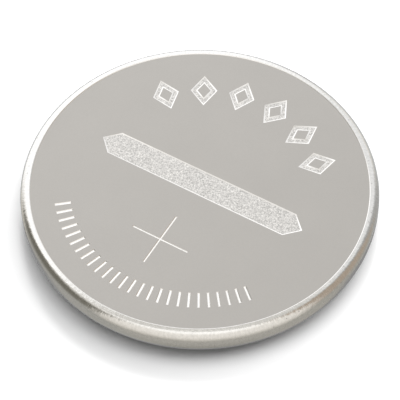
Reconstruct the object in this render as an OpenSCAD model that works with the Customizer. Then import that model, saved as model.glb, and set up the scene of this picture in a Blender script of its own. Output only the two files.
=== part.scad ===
// Lithium coin cell, 16 mm across and 2 mm high, lying on its negative cap.
// The origin is the centre of the negative contact face, and +Z points out of the positive face.
// Every metal part is thin sheet, so each profile is drawn once and inset by its sheet thickness.

/* [Cell] */
// Diameter over the can
cell_d = 16; // [15:0.1:20]
// Height from the negative face to the positive rim
cell_h = 2; // [1.6:0.05:3.2]

/* [Can] */
// Thickness of the can's sheet
can_wall = 0.2; // [0.15:0.01:0.25]
// Outer radius of the shoulder between the positive face and the side
shoulder_r = 0.3; // [0.26:0.01:0.35]
// Height of the straight side between the shoulder and the crimped lower edge
side_h = 0.3; // [0.2:0.01:0.5]
// Height of the crimped edge above the negative face
crimp_lift = 0.2; // [0.1:0.01:0.25]
// Width of the polished ring between the shoulder and the matte face
rim_ring_w = 0.15; // [0.05:0.01:0.3]
// Depth of the matte face below the polished ring
face_recess = 0.02; // [0.01:0.005:0.05]

/* [Gasket] */
// Thickness between the can and the cap's skirt
gasket_wall = 0.2; // [0.15:0.01:0.25]
// Thickness between the skirt's end and the can's floor
gasket_floor = 0.3; // [0.2:0.01:0.4]
// Thickness of the lip inside the cap's skirt
gasket_lip = 0.3; // [0.2:0.01:0.4]
// Width of the gasket ring that shows between the crimped edge and the cap
gasket_show_w = 0.45; // [0.3:0.01:0.6]
// Depth of that ring above the crimped edge
gasket_show_depth = 0.1; // [0.05:0.01:0.15]

/* [Cap] */
// Thickness of the cap's sheet
cap_wall = 0.2; // [0.15:0.01:0.22]
// Outer radius round the negative contact face
cap_edge_r = 0.25; // [0.23:0.01:0.35]
// Outer radius in the hollow where the brim starts
cap_hollow_r = 0.1; // [0.05:0.01:0.15]

/* [Active parts] */
// Thickness of the lithium disc
lithium_t = 0.38; // [0.3:0.01:0.42]
// Clearance round the lithium disc in the cap
lithium_gap = 0.4; // [0.3:0.01:0.6]
// Thickness of the separator
separator_t = 0.14; // [0.1:0.01:0.2]
// Clearance round the separator in the cap
separator_gap = 0.08; // [0.03:0.01:0.15]
// Thickness of the ring that holds the cathode pellet
ring_wall = 0.15; // [0.1:0.01:0.2]
// Height of that ring
ring_h = 0.6; // [0.4:0.01:0.8]
// Width of that ring's foot on the can's floor
ring_foot_w = 0.8; // [0.5:0.05:1.2]
// Clearance between that ring and the cap
ring_gap = 0.2; // [0.15:0.01:0.3]

/* [Face marks] */
// Depth of the marks below the matte face
mark_depth = 0.02; // [0.01:0.005:0.04]
// Number of lozenges along the upper arc
lozenge_count = 6; // [3:1:6]
// Angle from one lozenge to the next
lozenge_pitch = 18.9; // [16:0.1:22]
// Length of a lozenge along the radius
lozenge_l = 1.75; // [1.2:0.05:2]
// Width of a lozenge across the radius
lozenge_w = 1.25; // [1:0.05:1.5]
// Width of a lozenge's line
lozenge_line = 0.27; // [0.15:0.01:0.3]
// Distance from the matte face's edge to the lozenges
lozenge_margin = 1.3; // [1:0.05:1.6]
// Length of the blank bar across the middle
bar_l = 10.3; // [6:0.1:11]
// Height of that bar
bar_w = 1.3; // [0.8:0.05:1.6]
// Distance of that bar's middle above the centre
bar_y = 0.1; // [-0.3:0.05:0.6]
// Length of the plus sign's arms
plus_l = 2.8; // [2:0.1:3]
// Width of the plus sign's line
plus_line = 0.1; // [0.06:0.01:0.2]
// Distance of the plus sign's middle below the centre
plus_y = 3.4; // [2.8:0.05:3.7]
// Number of short strokes along the lower arc
tick_count = 26; // [10:1:28]
// Angle from one stroke to the next
tick_pitch = 4; // [3:0.1:5]
// Length of a stroke
tick_l = 0.75; // [0.4:0.05:0.9]
// Width of a stroke
tick_line = 0.13; // [0.08:0.01:0.2]
// Distance from the matte face's edge to the strokes
tick_margin = 1.05; // [0.9:0.05:1.3]

/* [Hidden] */
$fn = 96;

cell_r = cell_d / 2;
// The can, whose crimped edge curls in over all the height that the straight side leaves
shoulder_x = cell_r - shoulder_r;
shoulder_z = cell_h - shoulder_r;
curl_z = shoulder_z - side_h;
curl_r = curl_z - crimp_lift;
curl_x = cell_r - curl_r;
floor_z = cell_h - can_wall;
mouth_r = curl_x;
mouth_z = crimp_lift + can_wall;
face_r = shoulder_x - rim_ring_w;
face_z = cell_h - face_recess;
// The cap, whose brim curls round the same centre as the can's crimped edge
brim_curl_r = curl_r - can_wall - gasket_wall;
brim_z = curl_z - brim_curl_r;
skirt_r = curl_x + brim_curl_r;
skirt_top = floor_z - gasket_floor;
riser_r = mouth_r - gasket_show_w;
recess_r = riser_r - cap_wall;
// The gasket
gasket_lip_r = skirt_r - cap_wall - gasket_lip;
gasket_show_z = crimp_lift + gasket_show_depth;
// The stack, from the cap's floor up to the can's floor
lithium_z = cap_wall;
separator_z = lithium_z + lithium_t;
pellet_z = separator_z + separator_t;
ring_r = recess_r - ring_gap;
pellet_r = ring_r - ring_wall;
ring_foot_r = ring_r - ring_foot_w;
// Cuts start this far outside the surface that they open
over = 1;

// A rectangle from one corner to the other
module box2(x0, z0, x1, z1) {
    translate([x0, z0]) square([x1 - x0, z1 - z0]);
}

// A quarter disc round (x, z), on the outer side and towards z_side
module quarter(x, z, r, z_side) {
    intersection() {
        translate([x, z]) circle(r);
        translate([x, z + (z_side < 0 ? -r : 0)]) square(r);
    }
}

// The section inside the can's outer surface, moved in by inset
module can_section(inset) {
    box2(0, crimp_lift + inset, curl_x, curl_z);
    quarter(curl_x, curl_z, curl_r - inset, -1);
    box2(0, curl_z, cell_r - inset, shoulder_z);
    box2(0, shoulder_z, shoulder_x, cell_h - inset);
    quarter(shoulder_x, shoulder_z, shoulder_r - inset, 1);
}

// The section inside the cap's outer surface, moved in by inset
module cap_section(inset) {
    edge = cap_edge_r - inset;
    hollow = cap_hollow_r + inset;
    side = riser_r - inset;
    brim = brim_z + inset;
    box2(0, inset, side - edge, brim);
    quarter(riser_r - cap_edge_r, cap_edge_r, edge, -1);
    box2(side - edge, cap_edge_r, side, brim);
    difference() {
        box2(side, brim - hollow, side + hollow, brim);
        translate([riser_r + cap_hollow_r, brim_z - cap_hollow_r]) circle(hollow);
    }
    box2(0, brim, curl_x, curl_z);
    quarter(curl_x, curl_z, brim_curl_r - inset, -1);
    box2(0, curl_z, skirt_r - inset, skirt_top);
}

// Everything that the can leaves free inside, with its open mouth
module can_inside() {
    can_section(can_wall);
    box2(0, 0, mouth_r, mouth_z);
}

// A closed lozenge line, with its long axis along Y
module lozenge() {
    a = lozenge_w / 2;
    b = lozenge_l / 2;
    side_distance = a * b / norm([a, b]);
    inner = 1 - lozenge_line / side_distance;
    outline = [[a, 0], [0, b], [-a, 0], [0, -b]];
    difference() {
        polygon(outline);
        polygon(outline * inner);
    }
}

// A blank bar with pointed ends
module bar() {
    half = bar_l / 2;
    point = bar_w / 2;
    straight = half - point;
    translate([0, bar_y])
        polygon([
            [half, 0], [straight, point], [-straight, point],
            [-half, 0], [-straight, -point], [straight, -point]
        ]);
}

module plus_sign() {
    translate([0, -plus_y]) {
        square([plus_l, plus_line], center = true);
        square([plus_line, plus_l], center = true);
    }
}

// Copies its child along an arc round the centre, spread evenly to both sides of middle
module along_arc(count, pitch, middle, r) {
    for (i = [0 : count - 1])
        rotate(middle + (i - (count - 1) / 2) * pitch)
            translate([r, 0])
                rotate(-90) children();
}

module face_marks() {
    lozenge_r = face_r - lozenge_margin - lozenge_l / 2;
    tick_r = face_r - tick_margin - tick_l / 2;
    along_arc(lozenge_count, lozenge_pitch, 90, lozenge_r) lozenge();
    bar();
    plus_sign();
    along_arc(tick_count, tick_pitch, 270, tick_r)
        square([tick_line, tick_l], center = true);
}

// The positive can, one drawn cup with its lower edge crimped in under the cap
module can() {
    color([0.73, 0.71, 0.69])
        difference() {
            rotate_extrude()
                difference() {
                    can_section(0);
                    can_inside();
                }
            translate([0, 0, face_z]) cylinder(r = face_r, h = over);
            translate([0, 0, face_z - mark_depth])
                linear_extrude(over) face_marks();
        }
}

// The insulating seal, moulded as a channel round the cap's skirt and squeezed by the can
module gasket() {
    color([0.86, 0.86, 0.82])
        rotate_extrude() {
            difference() {
                intersection() {
                    can_inside();
                    box2(riser_r, gasket_show_z, cell_r, cell_h);
                }
                cap_section(0);
                box2(0, skirt_top, gasket_lip_r, cell_h);
            }
            intersection() {
                cap_section(cap_wall);
                box2(gasket_lip_r, 0, cell_r, skirt_top);
            }
        }
}

// The negative cap, a shallow hat with its brim turned up into a skirt
module cap() {
    color([0.76, 0.75, 0.73])
        rotate_extrude()
            difference() {
                cap_section(0);
                cap_section(cap_wall);
            }
}

// The lithium disc, pressed onto the cap's floor
module lithium_anode() {
    color([0.78, 0.79, 0.8])
        translate([0, 0, lithium_z])
            cylinder(r = recess_r - lithium_gap, h = lithium_t);
}

// The porous sheet between the two electrodes
module separator() {
    color([0.94, 0.94, 0.92])
        translate([0, 0, separator_z])
            cylinder(r = recess_r - separator_gap, h = separator_t);
}

// The section of the ring, an upright wall with a foot on the can's floor
module ring_section() {
    box2(pellet_r, floor_z - ring_h, ring_r, floor_z);
    box2(ring_foot_r, floor_z - ring_wall, pellet_r, floor_z);
}

// The pressed cathode, which fills its ring and stands on the can's floor
module cathode_pellet() {
    color([0.13, 0.13, 0.14])
        rotate_extrude()
            difference() {
                box2(0, pellet_z, pellet_r, floor_z);
                ring_section();
            }
}

// The steel ring that carries the pellet's current to the can
module cathode_ring() {
    color([0.66, 0.66, 0.67])
        rotate_extrude() ring_section();
}

can();
gasket();
cap();
lithium_anode();
separator();
cathode_pellet();
cathode_ring();
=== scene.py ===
# %% [markdown]
# # A lithium coin cell on a pale table
#
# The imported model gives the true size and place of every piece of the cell. This lesson keeps
# that frame, models each piece again as a smooth, finished mesh, gives it a finish made of shader
# nodes, and photographs the cell from above, as a shop would.

# %% Load the frame
import math

import bmesh
import bpy
from mathutils import Matrix, Vector


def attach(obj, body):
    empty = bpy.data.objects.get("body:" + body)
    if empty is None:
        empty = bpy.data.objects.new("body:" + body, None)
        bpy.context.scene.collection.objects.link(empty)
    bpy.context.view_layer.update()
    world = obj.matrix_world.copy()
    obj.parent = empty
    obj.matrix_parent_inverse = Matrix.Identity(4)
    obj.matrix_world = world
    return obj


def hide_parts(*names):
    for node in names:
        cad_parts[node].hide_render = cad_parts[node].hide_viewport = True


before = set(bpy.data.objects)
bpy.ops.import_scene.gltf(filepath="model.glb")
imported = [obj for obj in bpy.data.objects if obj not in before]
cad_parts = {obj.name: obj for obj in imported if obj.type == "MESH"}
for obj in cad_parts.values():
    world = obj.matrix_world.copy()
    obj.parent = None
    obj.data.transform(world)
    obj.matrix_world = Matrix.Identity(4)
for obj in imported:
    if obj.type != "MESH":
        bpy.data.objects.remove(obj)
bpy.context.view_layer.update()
scene = bpy.context.scene
print("CAD nodes:", ", ".join(sorted(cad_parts)))

# %% [markdown]
# ## Sizes
#
# Blender's unit is the metre, and the whole cell is only 16 mm across. Bevel and inset treat
# lengths of a few micrometres as zero, so every piece is modelled with one unit for one
# millimetre and is shrunk once, at the end. The frame says where each piece lies: a round piece
# is known by its inner and outer radius and by its lowest and highest point.

# %% Read the sizes of the round pieces
MM = 0.001


def round_size(node):
    """Inner radius, outer radius, lowest and highest point of a CAD node, in millimetres."""
    points = [v.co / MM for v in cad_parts[node].data.vertices]
    radii = [math.hypot(p.x, p.y) for p in points]
    heights = [p.z for p in points]
    return min(radii), max(radii), min(heights), max(heights)


_, cell_r, lip_z, top_z = round_size("can")
riser_r, seal_r, seal_z, floor_z = round_size("gasket")
_, skirt_r, _, skirt_top_z = round_size("cap")
can_wall = cell_r - seal_r
print(f"cell radius {cell_r:.2f}, height {top_z:.2f}, sheet {can_wall:.2f} mm")

# %% [markdown]
# ## The camera
#
# A product photographer stands back and uses a long lens, so that a flat, round thing keeps a
# calm outline. Directions are given as seen from the camera: `around` is 0 towards the camera, 90
# to its right, 180 behind the cell and 270 to its left. The camera aims a little in front of the
# middle of the face, which lifts the cell in the picture, and it is rolled by half a degree.

# %% Place the camera
camera_azimuth = math.radians(31)
camera_elevation = 53.72
camera_distance = 88.4 * MM
focal_length = 178.9
aim_right = 0.006 * MM
aim_down = 0.7 * MM
camera_roll = math.radians(0.63)
towards_camera = Vector((math.sin(camera_azimuth), -math.cos(camera_azimuth), 0))
rightwards = Vector((math.cos(camera_azimuth), math.sin(camera_azimuth), 0))


def seen_direction(around, elevation):
    """The unit vector towards a place in the studio, given as seen from the camera."""
    turn = math.radians(around)
    rise = math.radians(elevation)
    level = towards_camera * math.cos(turn) + rightwards * math.sin(turn)
    return level * math.cos(rise) + Vector((0, 0, math.sin(rise)))


camera = bpy.data.objects.new("camera", bpy.data.cameras.new("camera"))
scene.collection.objects.link(camera)
scene.camera = camera
camera.data.lens = focal_length
camera.data.clip_start = 0.01
face_middle = Vector((0, 0, top_z * MM))
camera.location = face_middle + seen_direction(0, camera_elevation) * camera_distance
upwards = seen_direction(180, 90 - camera_elevation)
target = face_middle + rightwards * aim_right - upwards * aim_down
aim = (target - camera.location).to_track_quat("-Z", "Y").to_matrix().to_4x4()
camera.rotation_euler = (aim @ Matrix.Rotation(-camera_roll, 4, "Z")).to_euler()
print("camera at", [round(c / MM, 1) for c in camera.location], "mm")

# %% [markdown]
# ## Helpers for nodes
#
# Shader trees are easier to read when a node is made and set in one line. A keyword names one of
# the node's own properties, or one of its inputs, with underscores for spaces. An input takes a
# number, a colour or the socket that feeds it. Sums and changes of range get helpers of their
# own.


# %% Make nodes in one line
def feed(tree, socket, value):
    """Sets an input to a value, or links it to the output socket that is given instead."""
    if isinstance(value, bpy.types.NodeSocket):
        tree.links.new(value, socket)
    else:
        socket.default_value = value


def add_node(tree, kind, **settings):
    """Adds a shader node and sets its properties and inputs."""
    made = tree.nodes.new("ShaderNode" + kind)
    for key, value in settings.items():
        if hasattr(made, key):
            setattr(made, key, value)
        else:
            feed(tree, made.inputs[key.replace("_", " ")], value)
    return made


def calculate(tree, operation, *values, kind="Math", output="Value"):
    """Adds a Math or VectorMath node and feeds its inputs in their order."""
    made = add_node(tree, kind, operation=operation)
    for socket, value in zip(made.inputs, values):
        feed(tree, socket, value)
    return made.outputs[output]


def ranged(tree, value, from_min, from_max, to_min, to_max, step="LINEAR"):
    """Adds a Map Range node that takes one range of a value to another."""
    made = add_node(
        tree, "MapRange", interpolation_type=step, Value=value,
        From_Min=from_min, From_Max=from_max, To_Min=to_min, To_Max=to_max,
    )
    return made.outputs["Result"]


print("helpers for nodes: feed, add_node, calculate, ranged")

# %% [markdown]
# An effect that several finishes share is built once, as a node group with named sockets, and
# placed in each finish with its own values. Two more helpers make such a group and place it.


# %% Make and place node groups
def new_group(name, inputs, outputs):
    """Makes an empty shader node group with named sockets, and returns it with its two ends."""
    group = bpy.data.node_groups.new(name, "ShaderNodeTree")
    for socket_name, kind, value in inputs:
        socket = group.interface.new_socket(
            socket_name, in_out="INPUT", socket_type="NodeSocket" + kind
        )
        socket.default_value = value
    for socket_name, kind in outputs:
        group.interface.new_socket(socket_name, in_out="OUTPUT", socket_type="NodeSocket" + kind)
    source = group.nodes.new("NodeGroupInput")
    sink = group.nodes.new("NodeGroupOutput")
    return group, source, sink


def use_group(tree, group, **settings):
    """Places a node group in a tree and sets its inputs."""
    made = tree.nodes.new("ShaderNodeGroup")
    made.node_tree = group
    for key, value in settings.items():
        feed(tree, made.inputs[key.replace("_", " ")], value)
    return made


print("helpers for groups: new_group, use_group")

# %% [markdown]
# ## The studio
#
# Polished steel has hardly any look of its own: it shows the room. A photographer builds that
# room from large panels, white ones that brighten an edge and dark or coloured ones that draw it.
# Here the room is the world's own shader, painted in the two angles that the camera's cell uses.
# The first group turns a ray's direction into those angles.

# %% Turn a direction into two angles
compass_group, source, sink = new_group(
    "Compass",
    [("Direction", "Vector", (0, 0, 1))],
    [("Around", "Float"), ("Elevation", "Float")],
)


def along(axis):
    """How far a ray's direction reaches along one axis."""
    direction = source.outputs["Direction"]
    return calculate(compass_group, "DOT_PRODUCT", direction, axis, kind="VectorMath")


turn = calculate(compass_group, "ARCTAN2", along(rightwards), along(towards_camera))
rise = calculate(compass_group, "ARCSINE", along(Vector((0, 0, 1))))
compass_group.links.new(calculate(compass_group, "DEGREES", turn), sink.inputs["Around"])
compass_group.links.new(calculate(compass_group, "DEGREES", rise), sink.inputs["Elevation"])
print("group", compass_group.name, "has", len(compass_group.nodes), "nodes")

# %% [markdown]
# The second group paints one soft-edged panel over what is there already, so panels are laid over
# each other like sheets of paper. Real cards have edges that blur in satin metal; here the blur
# is a number.

# %% Name the sockets of one soft panel
white = (1, 1, 1, 1)
numbers = "Around", "Elevation", "Middle", "Half width", "Bottom", "Top", "Side blur", "End blur"
colours = "Below", "Panel"
panel_group, source, sink = new_group(
    "Soft panel",
    [(name, "Float", 0) for name in numbers] + [(name, "Color", white) for name in colours],
    [("Color", "Color")],
)
print("a panel has", len(panel_group.interface.items_tree), "sockets")

# %% [markdown]
# Each edge is a smooth step from outside to inside, as wide as twice its blur. The panel shows as
# far as all the steps let it through. The angle round the studio is wrapped first, so that a
# panel may hang across the place where 360 degrees turn into 0.


# %% Build the group for one soft panel
def soft_step(value, edge, blur, before, after):
    """Goes from one number to another where the value passes an edge."""
    start = calculate(panel_group, "SUBTRACT", edge, blur)
    end = calculate(panel_group, "ADD", edge, blur)
    return ranged(panel_group, value, start, end, before, after, step="SMOOTHSTEP")


offset = calculate(panel_group, "SUBTRACT", source.outputs["Around"], source.outputs["Middle"])
offset = calculate(panel_group, "ABSOLUTE", calculate(panel_group, "WRAP", offset, 180, -180))
elevation = source.outputs["Elevation"]
inside = soft_step(offset, source.outputs["Half width"], source.outputs["Side blur"], 1, 0)
above = soft_step(elevation, source.outputs["Bottom"], source.outputs["End blur"], 0, 1)
under = soft_step(elevation, source.outputs["Top"], source.outputs["End blur"], 1, 0)
between = calculate(panel_group, "MULTIPLY", above, under)
covered = calculate(panel_group, "MULTIPLY", inside, between)
lay = add_node(panel_group, "Mix", data_type="RGBA", Factor=covered)
panel_group.links.new(source.outputs["Below"], lay.inputs[6])
panel_group.links.new(source.outputs["Panel"], lay.inputs[7])
panel_group.links.new(lay.outputs[2], sink.inputs["Color"])
print("group", panel_group.name, "has", len(panel_group.nodes), "nodes")

# %% [markdown]
# The room is pale, a little warm, and darker towards the floor. Behind the cell stand a bright
# wall, darker at its foot and with a dimmer gap above it, and a white card beside it. A grey and
# a tan card are to the right, and a dark flag is to the left. A shiny rim is a strip of all of
# them. The heights and places are in degrees, and the light is how bright a perfect mirror would
# show that part, where 1 is white.

# %% Choose the parts of the room
room_heights = [
    (-85, (0.31, 0.3, 0.27)),
    (-52, (0.47, 0.45, 0.41)),
    (-30, (0.61, 0.58, 0.52)),
    (-5, (0.82, 0.78, 0.72)),
    (15, (0.92, 0.88, 0.82)),
    (50, (1.0, 0.96, 0.9)),
    (75, (1.3, 1.28, 1.24)),
]
panels = [
    # name, middle, half width, bottom, top, side blur, end blur, light
    ("shaded table", 180, 85, -89, -46, 10, 5, (0.29, 0.29, 0.29)),
    ("back wall's foot", 170, 60, -46, -2, 12, 5, (0.6, 0.61, 0.61)),
    ("darker middle of the foot", 182, 20, -50, 12, 8, 6, (0.3, 0.3, 0.32)),
    ("white card beside the wall", 146, 26, 15, 66, 10, 7, (0.98, 0.98, 0.98)),
    ("back wall", 200, 34, -12, 66, 12, 7, (1.34, 1.34, 1.34)),
    ("gap above it", 180, 85, 67, 82, 10, 5, (0.74, 0.72, 0.68)),
    ("grey card", 105, 25, -40, 70, 10, 12, (0.46, 0.46, 0.45)),
    ("tan card's foot", 82, 26, -80, 8, 10, 6, (0.43, 0.415, 0.375)),
    ("tan card", 84, 24, -5, 72, 10, 14, (0.47, 0.395, 0.32)),
    ("left flag's foot", 275, 30, -80, 12, 7, 6, (0.41, 0.4, 0.37)),
    ("left flag", 273, 32, -6, 58, 7, 20, (0.19, 0.18, 0.15)),
]
print(len(panels), "panels:", ", ".join(panel[0] for panel in panels))

# %% [markdown]
# A colour ramp over the height paints the walls, and one Soft panel group after the other lays
# the panels on top. A world's Generated coordinates are the direction of the ray.

# %% Paint the walls
world = bpy.data.worlds.new("studio")
scene.world = world
world.use_nodes = True
room = world.node_tree
room.nodes.clear()
ray = add_node(room, "TexCoord").outputs["Generated"]
compass = use_group(room, compass_group, Direction=ray)
around, elevation = compass.outputs["Around"], compass.outputs["Elevation"]

zenith = 90
ramp = add_node(room, "ValToRGB", Fac=ranged(room, elevation, -zenith, zenith, 0, 1))
stops = ramp.color_ramp.elements
while len(stops) < len(room_heights):
    stops.new(1)
for stop, (height, colour) in zip(stops, room_heights):
    stop.position = (height + zenith) / (2 * zenith)
    stop.color = (*colour, 1)
print("the walls change colour at", len(stops), "heights")

# %% [markdown]
# Each panel takes the room so far as what lies below it, so a later panel hides an earlier one.

# %% Hang the panels
painted = ramp.outputs["Color"]
for name, middle, half_width, bottom, top, side_blur, end_blur, light in panels:
    panel = use_group(
        room, panel_group, Around=around, Elevation=elevation, Middle=middle,
        Half_width=half_width, Bottom=bottom, Top=top, Side_blur=side_blur, End_blur=end_blur,
        Below=painted, Panel=(*light, 1),
    )
    panel.label = name
    painted = panel.outputs["Color"]
print(len(panels), "panels hang in the studio")

# %% [markdown]
# Shiny metal shows this room. The camera itself sees plain white, the clean background of a
# catalogue picture. Matte things get an even fill, faint from above, where the lamps do the work,
# and bright from below, as from a white table. A ray that has met something matte before finds
# the room dark, so the metal throws no light into the cell's own shadow.

# %% Make the fill, the room for metal and the white backdrop
fill_above, fill_below = 0.01, 0.8
horizon_blur = 3
fill_strength = ranged(room, elevation, -horizon_blur, horizon_blur, fill_below, fill_above)
fill = add_node(room, "Background", Color=white, Strength=fill_strength)
light_path = add_node(room, "LightPath")
straight = calculate(room, "SUBTRACT", 1, light_path.outputs["Diffuse Depth"])
room_strength = calculate(room, "MAXIMUM", straight, 0)
mirrored = add_node(room, "Background", Color=painted, Strength=room_strength)
backdrop = add_node(room, "Background", Color=white)
print("fill", fill_above, "from above and", fill_below, "from below")

# %% [markdown]
# Two switches put this together. The first gives the room to rays that come from shiny metal, and
# the fill to all others. The second gives the white backdrop to the camera's own rays.


# %% Let each kind of ray see its part of the room
def switched(tree, factor, first, second):
    """Adds a Mix Shader node, which shows the second shader where the factor is 1."""
    made = add_node(tree, "MixShader", Fac=factor)
    for place, shader in ((1, first), (2, second)):
        tree.links.new(shader.outputs[0], made.inputs[place])
    return made


for_metal = switched(room, light_path.outputs["Is Glossy Ray"], fill, mirrored)
for_all = switched(room, light_path.outputs["Is Camera Ray"], for_metal, backdrop)
add_node(room, "OutputWorld", Surface=for_all.outputs["Shader"])
scene.view_settings.view_transform = "Standard"
print("world shader has", len(room.nodes), "nodes")

# %% [markdown]
# ## The lamps
#
# Suns light the table evenly, however far it reaches, and a wide disc makes a soft shadow. A very
# wide one stands to the right and behind, a smaller one is nearly overhead, and a small one right
# behind gives the shadow its dark core, which falls to the front. The painted room already stands
# for the suns in the metal, so they are kept out of reflections.

# %% Set up the lamps
suns = [
    # name, around, elevation, width of the disc, strength
    ("top_sun", 335, 82, 42, 1.75),
    ("right_sun", 127, 53, 73, 2.75),
    ("back_sun", 178, 57, 12, 0.7),
]
for name, around, elevation, softness, strength in suns:
    lamp = bpy.data.objects.new(name, bpy.data.lights.new(name, "SUN"))
    scene.collection.objects.link(lamp)
    lamp.data.angle = math.radians(softness)
    lamp.data.energy = strength
    lamp.rotation_euler = seen_direction(around, elevation).to_track_quat("Z", "Y").to_euler()
    lamp.visible_glossy = False
    print(name, "shines from", [round(c, 2) for c in seen_direction(around, elevation)])

# %% [markdown]
# ## The table
#
# The cell lies on white paper whose far edge melts into the backdrop: the suns bring it to pure
# white wherever the cell casts no shadow. A trace of light of its own keeps the deepest shadow
# from going black. The painted room and the fill already hold the table's light, so only the
# camera sees it, and only from above: the cell's underside can be looked at as well.

# %% Make the paper
paper_white, paper_lift = 0.9, 0.01


def new_material(name):
    """A material whose shader tree is empty."""
    made = bpy.data.materials.new(name)
    made.use_nodes = True
    made.node_tree.nodes.clear()
    return made, made.node_tree


paper, tree = new_material("table_paper")
diffuse = add_node(tree, "BsdfDiffuse", Color=(*[paper_white] * 3, 1))
glow = add_node(tree, "Emission", Color=white, Strength=paper_lift)
both = add_node(tree, "AddShader")
tree.links.new(diffuse.outputs["BSDF"], both.inputs[0])
tree.links.new(glow.outputs["Emission"], both.inputs[1])
from_above = calculate(tree, "SUBTRACT", 1, add_node(tree, "NewGeometry").outputs["Backfacing"])
from_camera = add_node(tree, "LightPath").outputs["Is Camera Ray"]
shown = calculate(tree, "MULTIPLY", from_camera, from_above)
only_shown = switched(tree, shown, add_node(tree, "BsdfTransparent"), both)
add_node(tree, "OutputMaterial", Surface=only_shown.outputs["Shader"])
print(paper.name, "is shown to the camera only")

# %% [markdown]
# The table is one flat disc, so wide that its edge stays out of the picture. It lies a hair below
# the cell, since two faces in the same place flicker.

# %% Lay the table
table_radius, table_gap = 600, 0.002
bm = bmesh.new()
bmesh.ops.create_circle(bm, cap_ends=True, segments=64, radius=table_radius * MM)
bmesh.ops.translate(bm, verts=bm.verts, vec=(0, 0, -table_gap * MM))
table_mesh = bpy.data.meshes.new("table")
bm.to_mesh(table_mesh)
bm.free()
table_mesh.materials.append(paper)
table = bpy.data.objects.new("table", table_mesh)
scene.collection.objects.link(table)
print("table faces up:", table_mesh.polygons[0].normal.z > 0)

# %% [markdown]
# ## A helper for turned pieces
#
# Every piece of a coin cell is round: sheet drawn in a press, plastic moulded in a ring, powder
# pressed in a die. So each one is a section turned about the axis, and the section needs only its
# corners. A vertex bevel rounds each corner with its own radius, and a full spin turns the
# section into the solid. Where the section ends short of the axis, the hole is closed by one flat
# face.

# %% Turn a section into a solid
turn_steps = 256
corner_steps = 14
weld_distance = 0.001


def turned(corners, closed=False):
    """Turns a section of (radius, height, rounding) corners. A closed section is a ring."""
    bm = bmesh.new()
    verts = [bm.verts.new((radius, 0, height)) for radius, height, _ in corners]
    for first, second in zip(verts, verts[1:]):
        bm.edges.new((first, second))
    if closed:
        bm.edges.new((verts[-1], verts[0]))
    for vert, (_, _, rounding) in zip(verts, corners):
        if rounding > 0:
            bmesh.ops.bevel(
                bm, geom=[vert], offset=rounding, offset_type="OFFSET", segments=corner_steps,
                profile=0.5, affect="VERTICES", material=-1,
            )
    bmesh.ops.spin(
        bm, geom=bm.verts[:] + bm.edges[:], cent=(0, 0, 0), axis=(0, 0, 1), dvec=(0, 0, 0),
        angle=math.tau, steps=turn_steps, use_merge=True, use_duplicate=False,
    )
    bmesh.ops.remove_doubles(bm, verts=bm.verts, dist=weld_distance)
    bmesh.ops.holes_fill(bm, edges=[e for e in bm.edges if e.is_boundary], sides=0)
    bmesh.ops.recalc_face_normals(bm, faces=bm.faces)
    return bm


print("a full turn has", turn_steps, "steps, a rounded corner has", corner_steps)

# %% [markdown]
# Before a piece is done, it is shaded smooth with sharp corners, shrunk to metres, given its
# finishes and hung from the root body, and the CAD node that it stands for is hidden.


# %% Finish a piece
sharp_angle = math.radians(35)
level_normal = 0.99999


def shade(bm):
    """Smooth shading on the turned surface, flat shading on level faces, and sharp corners."""
    for face in bm.faces:
        face.smooth = abs(face.normal.z) < level_normal
    for edge in bm.edges:
        edge.smooth = edge.calc_face_angle(0) < sharp_angle


def finished(bm, name, node, materials):
    """Shades a mesh, shrinks it to metres and makes it the piece that stands for a CAD node."""
    shade(bm)
    bmesh.ops.scale(bm, vec=(MM, MM, MM), verts=bm.verts)
    mesh = bpy.data.meshes.new(name)
    bm.to_mesh(mesh)
    bm.free()
    for material in materials:
        mesh.materials.append(material)
    piece = bpy.data.objects.new(name, mesh)
    scene.collection.objects.link(piece)
    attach(piece, "root")
    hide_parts(node)
    print(name, "has", len(mesh.polygons), "faces")


print("helpers for pieces: turned, shade, finished")

# %% [markdown]
# ## Grain
#
# No metal sheet is perfectly even. This group makes the fine grain that most of the finishes here
# share: a factor a little above and below 1 for the colour, and a height for a Bump node. Scale
# is given in grains per metre, because Object coordinates are metres.

# %% Build the grain group
grain_group, source, sink = new_group(
    "Fine grain",
    [("Vector", "Vector", (0, 0, 0)), ("Scale", "Float", 20000), ("Contrast", "Float", 0.1)],
    [("Factor", "Float"), ("Height", "Float")],
)
noise = add_node(
    grain_group, "TexNoise", Detail=3, Roughness=0.6,
    Vector=source.outputs["Vector"], Scale=source.outputs["Scale"],
)
swing = calculate(grain_group, "SUBTRACT", noise.outputs["Fac"], 0.5)
swing = calculate(grain_group, "MULTIPLY", swing, source.outputs["Contrast"])
grain_group.links.new(calculate(grain_group, "ADD", swing, 1), sink.inputs["Factor"])
grain_group.links.new(noise.outputs["Fac"], sink.inputs["Height"])
print("group", grain_group.name, "ready")

# %% [markdown]
# ## Streaks round the rim
#
# The press draws the sheet over its die, and that leaves hair lines that run up the side and over
# the shoulder. To follow them, the noise must not change along the line. The group puts every
# point on a circle of one radius and squeezes its height, and then asks for the noise there.

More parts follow.
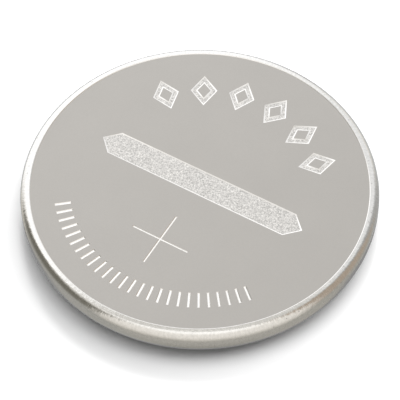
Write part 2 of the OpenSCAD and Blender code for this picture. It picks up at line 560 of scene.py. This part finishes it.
# %% Build the streak group
streak_group, source, sink = new_group(
    "Drawn streaks",
    [("Vector", "Vector", (0, 0, 0)), ("Scale", "Float", 10), ("Squeeze", "Float", 0.05)],
    [("Value", "Float")],
)
point = source.outputs["Vector"]
vectors = {"kind": "VectorMath", "output": "Vector"}
flat = calculate(streak_group, "MULTIPLY", point, (1, 1, 0), **vectors)
on_circle = calculate(streak_group, "NORMALIZE", flat, **vectors)
height = add_node(streak_group, "SeparateXYZ", Vector=point).outputs["Z"]
height = calculate(streak_group, "MULTIPLY", height, source.outputs["Squeeze"])
height = calculate(streak_group, "DIVIDE", height, MM)
lifted = add_node(streak_group, "CombineXYZ", Z=height).outputs["Vector"]
noise = add_node(
    streak_group, "TexNoise", Detail=4, Roughness=0.65, Scale=source.outputs["Scale"],
    Vector=calculate(streak_group, "ADD", on_circle, lifted, **vectors),
)
streak_group.links.new(noise.outputs["Fac"], sink.inputs["Value"])
print("group", streak_group.name, "ready")

# %% [markdown]
# ## A helper for finishes
#
# Each finish below is one Principled BSDF. The helper makes it and hands back the socket of the
# Object coordinates, which every pattern reads.


# %% Start a finish
def new_finish(name, **settings):
    """A material with a Principled BSDF, and the socket of its Object coordinates."""
    made, tree = new_material(name)
    bsdf = add_node(tree, "BsdfPrincipled", **settings)
    add_node(tree, "OutputMaterial", Surface=bsdf.outputs["BSDF"])
    return made, tree, bsdf, add_node(tree, "TexCoord").outputs["Object"]


def tint(tree, bsdf, colour, factor):
    """Feeds Base Color with a colour that a factor makes lighter and darker."""
    scaled = add_node(tree, "VectorMath", operation="SCALE", Vector=colour, Scale=factor)
    tree.links.new(scaled.outputs["Vector"], bsdf.inputs["Base Color"])


def bump(tree, bsdf, height, distance_mm, strength=1.0):
    """Feeds Normal with a Bump node. The distance is the height of the relief."""
    relief = add_node(tree, "Bump", Strength=strength, Distance=distance_mm * MM, Height=height)
    tree.links.new(relief.outputs["Normal"], bsdf.inputs["Normal"])


def grain(tree, coordinates, scale, contrast):
    """Places the grain group and returns its factor and its height."""
    made = use_group(tree, grain_group, Vector=coordinates, Scale=scale, Contrast=contrast)
    return made.outputs["Factor"], made.outputs["Height"]


print("helpers for finishes: new_finish, tint, bump, grain")

# %% [markdown]
# ## Specks
#
# Handling leaves small pits and rub marks in metal, here and there. Voronoi cells scatter them:
# each cell has one middle point and one random number. The number decides whether the cell has a
# speck at all, and the distance to the middle draws it.

# %% Build the speck group
speck_group, source, sink = new_group(
    "Specks",
    [
        ("Vector", "Vector", (0, 0, 0)),
        ("Scale", "Float", 8000),
        ("Size", "Float", 0.3),
        ("Share", "Float", 0.2),
    ],
    [("Mask", "Float")],
)
cells = add_node(
    speck_group, "TexVoronoi", feature="F1",
    Vector=source.outputs["Vector"], Scale=source.outputs["Scale"],
)
random_number = add_node(speck_group, "SeparateColor", Color=cells.outputs["Color"]).outputs["Red"]
chosen = calculate(speck_group, "LESS_THAN", random_number, source.outputs["Share"])
edge = source.outputs["Size"]
core = calculate(speck_group, "MULTIPLY", edge, 0.5)
dot = ranged(speck_group, cells.outputs["Distance"], core, edge, 1, 0, step="SMOOTHSTEP")
mask = calculate(speck_group, "MULTIPLY", dot, chosen)
speck_group.links.new(mask, sink.inputs["Mask"])


def specks(tree, coordinates, scale, size, share):
    """Places the speck group and returns its mask."""
    made = use_group(tree, speck_group, Vector=coordinates, Scale=scale, Size=size, Share=share)
    return made.outputs["Mask"]


print("group", speck_group.name, "ready, placed by specks")

# %% [markdown]
# ## The finishes of the can
#
# The can wears four finishes. The face is blasted to an even satin grey: a very fine grain, and a
# bloom so faint that it only keeps the grey from looking flat.

# %% Make the satin face
satin_face, tree, bsdf, coordinates = new_finish("satin_face", Metallic=1, Roughness=0.38)
factor, height = grain(tree, coordinates, scale=24000, contrast=0.12)
bloom, _ = grain(tree, coordinates, scale=450, contrast=0.06)
tint(tree, bsdf, (0.449, 0.434, 0.413), calculate(tree, "MULTIPLY", factor, bloom))
bump(tree, bsdf, height, distance_mm=0.0015, strength=0.5)
print(satin_face.name, "has", len(tree.nodes), "nodes")

# %% [markdown]
# The rim, the side and the crimped edge keep the shine of the drawn sheet, a little mottled where
# cells have rubbed against each other in their tray. Hair lines run over them, small waves left
# by the press break up the edges of what they reflect, and there are a few rub marks. First come
# the patterns: each one is a number at every point, which the next cell turns into a look.

# %% Find the patterns of the polished rim
polished_rim, tree, bsdf, coordinates = new_finish("polished_rim", Metallic=1)
streaks = use_group(tree, streak_group, Vector=coordinates, Scale=130, Squeeze=0.04)
hair_lines = streaks.outputs["Value"]
pits = specks(tree, coordinates, scale=7000, size=0.34, share=0.11)
mottle, _ = grain(tree, coordinates, scale=8000, contrast=0.26)
_, waves = grain(tree, coordinates, scale=5500, contrast=0)
print("patterns of", polished_rim.name, "ready")

# %% [markdown]
# All of these are heights or factors, so one colour, one roughness and one Bump node carry them.
# A rub mark is duller than the sheet round it, so it darkens the colour and adds to the
# roughness.

# %% Make the polished rim
pit_darkness, pit_roughness = 0.25, 0.2
hair_line_height = 0.1
line_shade = ranged(tree, hair_lines, 0.3, 0.7, 0.95, 1.03)
pit_shade = calculate(tree, "SUBTRACT", 1, calculate(tree, "MULTIPLY", pits, pit_darkness))
tone = calculate(tree, "MULTIPLY", line_shade, pit_shade)
tint(tree, bsdf, (0.785, 0.78, 0.765), calculate(tree, "MULTIPLY", tone, mottle))
line_roughness = ranged(tree, hair_lines, 0.3, 0.7, 0.1, 0.2)
rubbed = calculate(tree, "MULTIPLY", pits, pit_roughness)
roughness = calculate(tree, "ADD", line_roughness, rubbed)
tree.links.new(roughness, bsdf.inputs["Roughness"])
relief = calculate(tree, "ADD", calculate(tree, "MULTIPLY", hair_lines, hair_line_height), waves)
bump(tree, bsdf, relief, distance_mm=0.009)
print(polished_rim.name, "has", len(tree.nodes), "nodes")

# %% [markdown]
# The marks on the face are etched. The floor of a wide mark is frosted and stippled, much lighter
# than the face. The edge of every mark is a bright line: a highlight painted as a lighter colour.
# Thin marks are bright all over, with the same light finish.

# %% Make the etched marks
mark_frost, tree, bsdf, coordinates = new_finish("mark_frost", Metallic=1, Roughness=0.5)
factor, height = grain(tree, coordinates, scale=16000, contrast=1.9)
tint(tree, bsdf, (0.68, 0.67, 0.655), factor)
bump(tree, bsdf, height, distance_mm=0.01, strength=0.5)

# A lighter base colour paints the highlight on the mark walls and on the step round the face.
bright_etch_and_painted_highlight, tree, bsdf, coordinates = new_finish("bright_etch_and_painted_highlight", Metallic=1, Roughness=0.3)
factor, height = grain(tree, coordinates, scale=14000, contrast=0.25)
tint(tree, bsdf, (0.9, 0.89, 0.875), factor)
bump(tree, bsdf, height, distance_mm=0.004, strength=0.4)
print("etched finishes:", mark_frost.name, bright_etch_and_painted_highlight.name)

# %% [markdown]
# ## The can
#
# The positive can is one cup, drawn from sheet, laid over the cell and crimped in below it. Its
# section runs from the matte face over a small step to the narrow polished ring, round the
# shoulder, down the side and in along the crimped curve to the lip, and then back up along the
# inside. The ring leans outward a little, as drawn sheet does next to a bend, and catches the
# overhead light.

# %% Measure the can's section
shoulder_r = 0.3
shoulder_round = 0.35
side_h = 0.3
ring_w = 0.15
ring_lean = math.radians(10)
face_recess = 0.02
step_w = 0.03
crest_round = 0.012
edge_round = 0.03
flat_start = 0.2
face_r = cell_r - shoulder_r - ring_w
face_z = top_z - face_recess
curl_z = top_z - shoulder_r - side_h
curl_r = curl_z - lip_z
mouth_r = cell_r - curl_r
crest_r = face_r + step_w
shoulder_corner_z = top_z - (cell_r - crest_r) * math.tan(ring_lean)
shoulder_reach = shoulder_round * math.tan((math.pi / 2 - ring_lean) / 2)
disc_r = face_r - flat_start
print(f"face radius {face_r:.2f}, curl radius {curl_r:.2f}, mouth radius {mouth_r:.2f} mm")

# %% [markdown]
# The list runs from the face outward, round the curl and back in under the floor. An inner corner
# has the outer corner's radius less the thickness of the sheet, so the wall is even all the way
# round.

# %% Turn the can
can_blank = turned([
    (disc_r, face_z, 0),
    (face_r, face_z, 0),
    (crest_r, top_z, crest_round),
    (cell_r, shoulder_corner_z, shoulder_reach),
    (cell_r, lip_z, curl_r - edge_round),
    (mouth_r, lip_z, edge_round),
    (mouth_r, lip_z + can_wall, edge_round),
    (seal_r, lip_z + can_wall, curl_r - can_wall - edge_round),
    (seal_r, floor_z, shoulder_r - can_wall),
    (disc_r, floor_z, 0),
])
print("can turned:", len(can_blank.faces), "faces")

# %% [markdown]
# One sheet carries all the finishes, so they are set face by face. The face and the step round it
# are told by their height and radius, and all the rest stays polished. The step gets the light
# finish of the marks, which paints a highlight along the face's edge.

# %% Give each zone of the can its finish
can_finishes = [polished_rim, satin_face, mark_frost, bright_etch_and_painted_highlight]
for face in can_blank.faces:
    middle = face.calc_center_median()
    if middle.z > face_z - 0.001 and math.hypot(middle.x, middle.y) < face_r:
        face.material_index = can_finishes.index(satin_face)
    # The step round the face gets the lighter finish, a painted highlight.
    elif middle.z > face_z and math.hypot(middle.x, middle.y) < crest_r:
        face.material_index = can_finishes.index(bright_etch_and_painted_highlight)
satin = [f for f in can_blank.faces if f.material_index == can_finishes.index(satin_face)]
print("satin faces:", len(satin))

# %% [markdown]
# ## The marks on the face
#
# The marks are sunk two hundredths of a millimetre into the face: six lozenges along the upper
# arc, a blank bar with pointed ends, a thin plus sign for the positive side, and short strokes
# along the lower arc. Each outline is drawn flat, round the origin. The lozenge is a circle of four
# corners with its middle taken out, and the bar is a rectangle with deep chamfers.

# %% Draw the wide outlines
lozenge_l, lozenge_w, lozenge_line = 1.75, 1.25, 0.27
bar_l, bar_w = 10.3, 1.3


def lozenge(bm):
    """A closed lozenge line, with its long axis along Y."""
    made = bmesh.ops.create_circle(bm, cap_ends=True, segments=4, radius=1)
    bmesh.ops.scale(bm, vec=(lozenge_w / 2, lozenge_l / 2, 1), verts=made["verts"])
    middle = bm.faces[:]
    bmesh.ops.inset_region(
        bm, faces=middle, thickness=lozenge_line, use_boundary=True, use_even_offset=True
    )
    bmesh.ops.delete(bm, geom=middle, context="FACES")


def rectangle(bm, length, width):
    """A rectangle round the origin."""
    made = bmesh.ops.create_grid(bm, x_segments=1, y_segments=1, size=0.5)
    bmesh.ops.scale(bm, vec=(length, width, 1), verts=made["verts"])


def bar(bm):
    """A bar whose ends are chamfered to points."""
    rectangle(bm, bar_l, bar_w)
    bmesh.ops.bevel(
        bm, geom=bm.verts[:], offset=bar_w / 2, offset_type="OFFSET", segments=1,
        profile=0.5, affect="VERTICES", material=-1,
    )
    bmesh.ops.remove_doubles(bm, verts=bm.verts, dist=weld_distance)


print("wide outlines: lozenge, bar")

# %% [markdown]
# The thin marks are single lines. Arms extruded from one small square make a cross with no faces
# on top of each other, as two crossed rectangles would have.

# %% Draw the thin outlines
plus_l, plus_line = 2.8, 0.1
tick_l, tick_line = 0.75, 0.13


def plus_sign(bm):
    """A small square whose four sides are extruded into arms."""
    rectangle(bm, plus_line, plus_line)
    for side in bm.edges[:]:
        outward = (side.verts[0].co + side.verts[1].co).normalized()
        arm = bmesh.ops.extrude_edge_only(bm, edges=[side])["geom"]
        tips = [part for part in arm if isinstance(part, bmesh.types.BMVert)]
        bmesh.ops.translate(bm, verts=tips, vec=outward * (plus_l - plus_line) / 2)


def tick(bm):
    """One short stroke along Y."""
    rectangle(bm, tick_line, tick_l)


print("thin outlines: plus_sign, tick")

# %% [markdown]
# The lozenges and the strokes stand on two arcs. Each outline is drawn in a bmesh of its own,
# copied to all its places, and lifted a little above the face, so that the cutter has no face in
# common with the piece that it cuts.

# %% Lay out the marks
mark_brim = 0.002


def on_arc(count, pitch, middle, radius):
    """Places for marks along an arc round the centre. Each one points outward."""
    for number in range(count):
        angle = math.radians(middle + (number - (count - 1) / 2) * pitch - 90)
        yield Matrix.Rotation(angle, 4, "Z") @ Matrix.Translation((0, radius, 0))


def laid_out(outlines):
    """Copies flat outlines to their places just above the face."""
    bm = bmesh.new()
    for draw, places in outlines:
        single = bmesh.new()
        draw(single)
        outline = bpy.data.meshes.new("outline")
        single.to_mesh(outline)
        single.free()
        for place in places:
            before = len(bm.verts)
            bm.from_mesh(outline)
            bm.verts.ensure_lookup_table()
            bmesh.ops.transform(bm, matrix=place, verts=bm.verts[before:])
        bpy.data.meshes.remove(outline)
    bmesh.ops.translate(bm, verts=bm.verts, vec=(0, 0, face_z + mark_brim))
    return bm


print("helpers for layout: on_arc, laid_out")

# %% [markdown]
# The arcs are measured inward from the face's edge. +Y is the top of the face, so the middle of
# the upper arc is at 90 degrees and that of the lower arc at 270.

# %% Place the wide and the thin marks
lozenge_count, lozenge_pitch, lozenge_margin = 6, 18.9, 1.3
tick_count, tick_pitch, tick_margin = 26, 4, 1.05
bar_y, plus_y = 0.1, -3.4
lozenge_r = face_r - lozenge_margin - lozenge_l / 2
tick_r = face_r - tick_margin - tick_l / 2
wide_marks = laid_out([
    (lozenge, on_arc(lozenge_count, lozenge_pitch, 90, lozenge_r)),
    (bar, [Matrix.Translation((0, bar_y, 0))]),
])
thin_marks = laid_out([
    (plus_sign, [Matrix.Translation((0, plus_y, 0))]),
    (tick, on_arc(tick_count, tick_pitch, 270, tick_r)),
])
print(len(wide_marks.faces), "wide and", len(thin_marks.faces), "thin outline faces")

# %% [markdown]
# A cutter is the outline pulled upward, with its underside inset and lowered. The band that the
# inset leaves is the sloping wall of the mark. Its finish has a lighter colour, which paints the
# highlight that the edge of etched metal catches.

# %% Turn the outlines into cutters
mark_depth = 0.02
head_room = 0.2


def sunk(bm, wall_w, floor_finish):
    """Extrudes flat outlines upward, and insets and lowers their undersides."""
    floors = bm.faces[:]
    grown = bmesh.ops.extrude_face_region(bm, geom=floors, use_keep_orig=True)["geom"]
    tops = [part for part in grown if isinstance(part, bmesh.types.BMVert)]
    bmesh.ops.translate(bm, verts=tops, vec=(0, 0, head_room))
    bmesh.ops.recalc_face_normals(bm, faces=bm.faces)
    walls = bmesh.ops.inset_region(
        bm, faces=floors, thickness=wall_w, depth=mark_depth + mark_brim,
        use_boundary=True, use_even_offset=True,
    )["faces"]
    # The walls get the lighter finish, which paints their highlight.
    for face in bm.faces:
        face.material_index = can_finishes.index(bright_etch_and_painted_highlight)
    for face in floors:
        face.material_index = can_finishes.index(floor_finish)
    print(len(walls), "wall faces, lowest point", round(min(v.co.z for v in bm.verts), 4))


wide_wall, thin_wall = 0.06, 0.03
sunk(wide_marks, wide_wall, mark_frost)
sunk(thin_marks, thin_wall, bright_etch_and_painted_highlight)

# %% [markdown]
# The marks are cut with an exact Boolean, because they cross the face at any angle. It takes the
# finish of each cutter's face along, so the walls and floors come out with their own materials.


# %% Cut the marks into the can
def cut(body, tools, materials):
    """Cuts the tools out of the body with Boolean modifiers, and returns the result."""
    blanks = []
    for bm in [body, *tools]:
        mesh = bpy.data.meshes.new("blank")
        bm.to_mesh(mesh)
        bm.free()
        for material in materials:
            mesh.materials.append(material)
        blanks.append(bpy.data.objects.new("blank", mesh))
        scene.collection.objects.link(blanks[-1])
    for tool in blanks[1:]:
        modifier = blanks[0].modifiers.new("cut", "BOOLEAN")
        modifier.operation = "DIFFERENCE"
        modifier.solver = "EXACT"
        modifier.material_mode = "TRANSFER"
        modifier.object = tool
    evaluated = blanks[0].evaluated_get(bpy.context.evaluated_depsgraph_get())
    result = bmesh.new()
    result.from_mesh(evaluated.to_mesh())
    evaluated.to_mesh_clear()
    for blank in blanks:
        bpy.data.meshes.remove(blank.data)
    return result


can_bm = cut(can_blank, [wide_marks, thin_marks], can_finishes)
bmesh.ops.triangulate(can_bm, faces=[face for face in can_bm.faces if len(face.verts) > 4])
print("closed:", all(edge.is_manifold for edge in can_bm.edges))
finished(can_bm, "positive_can", "can", can_finishes)

# %% [markdown]
# ## The gasket
#
# The seal is moulded polypropylene, a channel round the cap's skirt. The crimp squeezes it until
# it fills all the room between can and cap. From outside, only a thin milky ring shows, between
# the crimped edge and the cap. Its section is closed, so it needs no flat ends.

# %% Make the milky plastic
milky_plastic, tree, bsdf, coordinates = new_finish("milky_plastic", Roughness=0.42, IOR=1.49)
factor, _ = grain(tree, coordinates, scale=3000, contrast=0.12)
tint(tree, bsdf, (0.8, 0.79, 0.73), factor)
_, fine_height = grain(tree, coordinates, scale=30000, contrast=0.1)
bump(tree, bsdf, fine_height, distance_mm=0.003, strength=0.4)
print(milky_plastic.name, "has", len(tree.nodes), "nodes")

# %% [markdown]
# The gasket is what can and cap leave between them. Its outer side follows the can's inside, and
# its channel follows both sides of the cap's skirt, so the cap is measured first. All the curls
# share one centre, and each is smaller by a wall than the last.

# %% Measure the cap and the gasket's channel
cap_wall = 0.2
lip_w = 0.3
hollow_r = 0.1
gasket_wall = seal_r - skirt_r
brim_curl_r = curl_r - can_wall - gasket_wall
brim_z = curl_z - brim_curl_r
inner_curl_r = brim_curl_r - cap_wall
inner_skirt_r = skirt_r - cap_wall
lip_r = inner_skirt_r - lip_w
lip_angle = math.acos((lip_r - mouth_r) / inner_curl_r)
lip_reach = inner_curl_r * math.tan(lip_angle / 2)
print(f"brim at {brim_z:.2f}, its curl {brim_curl_r:.2f}, lip from {lip_r:.2f} mm")

# %% [markdown]
# The list starts at the foot, beside the cap, goes up along the can's inside and over the skirt,
# and comes back along both sides of the cap's sheet. Where a rounding would end in the next
# corner, it stops a hair short of it, so that no edge has length zero.

# %% Turn the gasket
soft = 0.03
slack = 0.002
gasket_bm = turned([
    (riser_r, seal_z, 0),
    (mouth_r, seal_z, 0),
    (mouth_r, lip_z + can_wall, edge_round),
    (seal_r, lip_z + can_wall, curl_r - can_wall - edge_round),
    (seal_r, floor_z, shoulder_r - can_wall),
    (lip_r, floor_z, soft),
    (lip_r, curl_z - inner_curl_r * math.sin(lip_angle), 0),
    (inner_skirt_r, curl_z - lip_reach, lip_reach - slack),
    (inner_skirt_r, skirt_top_z, 0),
    (skirt_r, skirt_top_z, 0),
    (skirt_r, brim_z, brim_curl_r - slack),
    (riser_r, brim_z, hollow_r),
], closed=True)
finished(gasket_bm, "seal", "gasket", [milky_plastic])

# %% [markdown]
# ## The cap
#
# The negative cap is the smaller cup, pressed from the same kind of sheet. Its round contact face
# is what the cell lies on. The sheet turns up round that face, out in a brim, and up again into a
# skirt that the gasket holds. The contact face is matte, with a few small marks from handling.

# %% Make the matte cap steel
matte_cap, tree, bsdf, coordinates = new_finish("matte_cap", Metallic=1)
cap_pit_darkness = 0.3
factor, height = grain(tree, coordinates, scale=16000, contrast=0.16)
bloom, bloom_height = grain(tree, coordinates, scale=420, contrast=0.3)
pits = specks(tree, coordinates, scale=1300, size=0.14, share=0.22)
darker = calculate(tree, "MULTIPLY", pits, cap_pit_darkness)
tone = calculate(tree, "MULTIPLY", factor, calculate(tree, "SUBTRACT", bloom, darker))
tint(tree, bsdf, (0.6, 0.585, 0.56), tone)
roughness = ranged(tree, bloom_height, 0.3, 0.7, 0.26, 0.42)
tree.links.new(roughness, bsdf.inputs["Roughness"])
bump(tree, bsdf, height, distance_mm=0.002, strength=0.5)
print(matte_cap.name, "has", len(tree.nodes), "nodes")

# %% [markdown]
# The list runs from the contact face up the riser, along the brim and up the skirt, and then back
# down along the inside, one sheet further in. The flat floors in the middle are left to the hole
# filler.

# %% Turn the cap
cap_edge_r = 0.25
recess_r = riser_r - cap_wall
cap_bm = turned([
    (riser_r - cap_edge_r - 0.02, 0, 0),
    (riser_r, 0, cap_edge_r),
    (riser_r, brim_z, hollow_r),
    (skirt_r, brim_z, brim_curl_r),
    (skirt_r, skirt_top_z, soft),
    (inner_skirt_r, skirt_top_z, soft),
    (inner_skirt_r, brim_z + cap_wall, inner_curl_r),
    (recess_r, brim_z + cap_wall, hollow_r + cap_wall),
    (recess_r, cap_wall, cap_edge_r - cap_wall),
    (recess_r - 0.1, cap_wall, 0),
])
finished(cap_bm, "negative_cap", "cap", [matte_cap])

# %% [markdown]
# ## The lithium disc
#
# The negative electrode is a disc punched from soft lithium sheet and pressed onto the cap's
# floor. It is silvery and a little dull, with a faint, uneven bloom, and its punched edge is
# rounded. The bloom changes both the colour and the gloss, as a thin tarnish does.

# %% Make the soft lithium
soft_lithium, tree, bsdf, coordinates = new_finish("soft_lithium", Metallic=1)
bloom, bloom_height = grain(tree, coordinates, scale=700, contrast=0.35)
factor, height = grain(tree, coordinates, scale=9000, contrast=0.1)
tint(tree, bsdf, (0.6, 0.61, 0.62), calculate(tree, "MULTIPLY", bloom, factor))
roughness = ranged(tree, bloom_height, 0, 1, 0.3, 0.6)
tree.links.new(roughness, bsdf.inputs["Roughness"])
bump(tree, bsdf, height, distance_mm=0.006, strength=0.6)
print(soft_lithium.name, "has", len(tree.nodes), "nodes")

# %% [markdown]
# The lithium disc and the separator are plain discs, so one helper reads a disc's size from its
# CAD node and lists its corners.


# %% Turn the lithium disc
def disc_section(node, low_round, high_round):
    """The section of a solid disc that fills a CAD node, from its bottom to its top."""
    _, radius, bottom, top = round_size(node)
    inside_edge = radius - max(low_round, high_round) - 0.02
    return [
        (inside_edge, bottom, 0),
        (radius, bottom, low_round),
        (radius, top, high_round),
        (inside_edge, top, 0),
    ]


finished(
    turned(disc_section("lithium_anode", 0.03, 0.08)),
    "lithium_disc", "lithium_anode", [soft_lithium],
)

# %% [markdown]
# ## The separator
#
# A thin felt of plastic fibres keeps the electrodes apart and holds the electrolyte. Fibres are
# much longer than they are thick, so the noise is stretched along one direction and turned a few
# times; the crossing layers look like felt.

# %% Make the fibre felt
fibre_felt, tree, bsdf, coordinates = new_finish("fibre_felt", Roughness=0.9)
layers = []
for turn in (12, 58, 101, 149):
    rotation = (0, 0, math.radians(turn))
    mapping = add_node(tree, "Mapping", Vector=coordinates, Rotation=rotation, Scale=(1, 9, 1))
    _, layer = grain(tree, mapping.outputs["Vector"], scale=2600, contrast=0.5)
    layers.append(layer)
felt = layers[0]
for layer in layers[1:]:
    felt = calculate(tree, "MAXIMUM", felt, layer)
tint(tree, bsdf, (0.86, 0.86, 0.83), ranged(tree, felt, 0.4, 0.8, 0.82, 1.04))
bump(tree, bsdf, felt, distance_mm=0.02, strength=0.8)
print(fibre_felt.name, "has", len(layers), "layers of fibres")

# %% [markdown]
# The felt is cut from a sheet, so its edge is nearly sharp.

# %% Turn the separator
finished(
    turned(disc_section("separator", 0.02, 0.02)),
    "felt_separator", "separator", [fibre_felt],
)

# %% [markdown]
# ## The cathode pellet
#
# The positive electrode is a black powder with a little graphite, pressed into a tablet. Its
# lower edge is broken by a small chamfer from the die, and its upper edge makes room for its
# steel ring.

# %% Make the pressed powder
pressed_powder, tree, bsdf, coordinates = new_finish("pressed_powder")
powder_roughness, graphite_gloss, graphite_light = 0.82, 0.4, 4
factor, height = grain(tree, coordinates, scale=5000, contrast=0.5)
graphite = specks(tree, coordinates, scale=9000, size=0.4, share=0.08)
lighter = calculate(tree, "MULTIPLY", graphite, graphite_light)
tint(tree, bsdf, (0.017, 0.017, 0.019), calculate(tree, "ADD", factor, lighter))
smoother = calculate(tree, "MULTIPLY", graphite, graphite_gloss)
tree.links.new(calculate(tree, "SUBTRACT", powder_roughness, smoother), bsdf.inputs["Roughness"])
bump(tree, bsdf, height, distance_mm=0.02, strength=0.8)
print(pressed_powder.name, "has", len(tree.nodes), "nodes")

# %% [markdown]
# The pellet's step is as deep and as wide as the ring's sheet, so the ring sits flush round its
# top.

# %% Turn the pellet
die_chamfer = 0.08
_, pellet_r, pellet_z, _ = round_size("cathode_pellet")
ring_foot_r, ring_r, ring_z, _ = round_size("cathode_ring")
ring_sheet = ring_r - pellet_r
pellet_bm = turned([
    (pellet_r - 0.14, pellet_z, 0),
    (pellet_r, pellet_z, die_chamfer),
    (pellet_r, floor_z - ring_sheet, 0),
    (ring_foot_r, floor_z - ring_sheet, 0),
    (ring_foot_r, floor_z, 0),
    (ring_foot_r - 0.1, floor_z, 0),
])
finished(pellet_bm, "pressed_pellet", "cathode_pellet", [pressed_powder])

# %% [markdown]
# ## The cathode ring
#
# The pellet sits in a thin ring, an L in section, that keeps it round and carries its current to
# the can. It is plain stamped sheet with drawn lines on its wall. The streak group that made the
# rim's hair lines makes these as well, only coarser.

# %% Make the ring's sheet steel
ring_sheet_steel, tree, bsdf, coordinates = new_finish(
    "ring_sheet_steel", Metallic=1, Roughness=0.26
)
streaks = use_group(tree, streak_group, Vector=coordinates, Scale=60, Squeeze=0.05)
lines = streaks.outputs["Value"]
tint(tree, bsdf, (0.6, 0.59, 0.58), ranged(tree, lines, 0.3, 0.7, 0.9, 1.06))
bump(tree, bsdf, lines, distance_mm=0.003, strength=0.5)
print(ring_sheet_steel.name, "has", len(tree.nodes), "nodes")

# %% [markdown]
# Inside the bend, the ring meets the pellet with a nearly sharp corner. Outside, the bend is as
# round as a folded sheet's, and the cut edges are only broken.

# %% Turn the ring
cut_edge, bend_inside = 0.02, 0.01
ring_bm = turned([
    (ring_foot_r, floor_z - ring_sheet, cut_edge),
    (pellet_r, floor_z - ring_sheet, bend_inside),
    (pellet_r, ring_z, cut_edge),
    (ring_r, ring_z, cut_edge),
    (ring_r, floor_z, ring_sheet - bend_inside),
    (ring_foot_r, floor_z, cut_edge),
], closed=True)
finished(ring_bm, "steel_ring", "cathode_ring", [ring_sheet_steel])
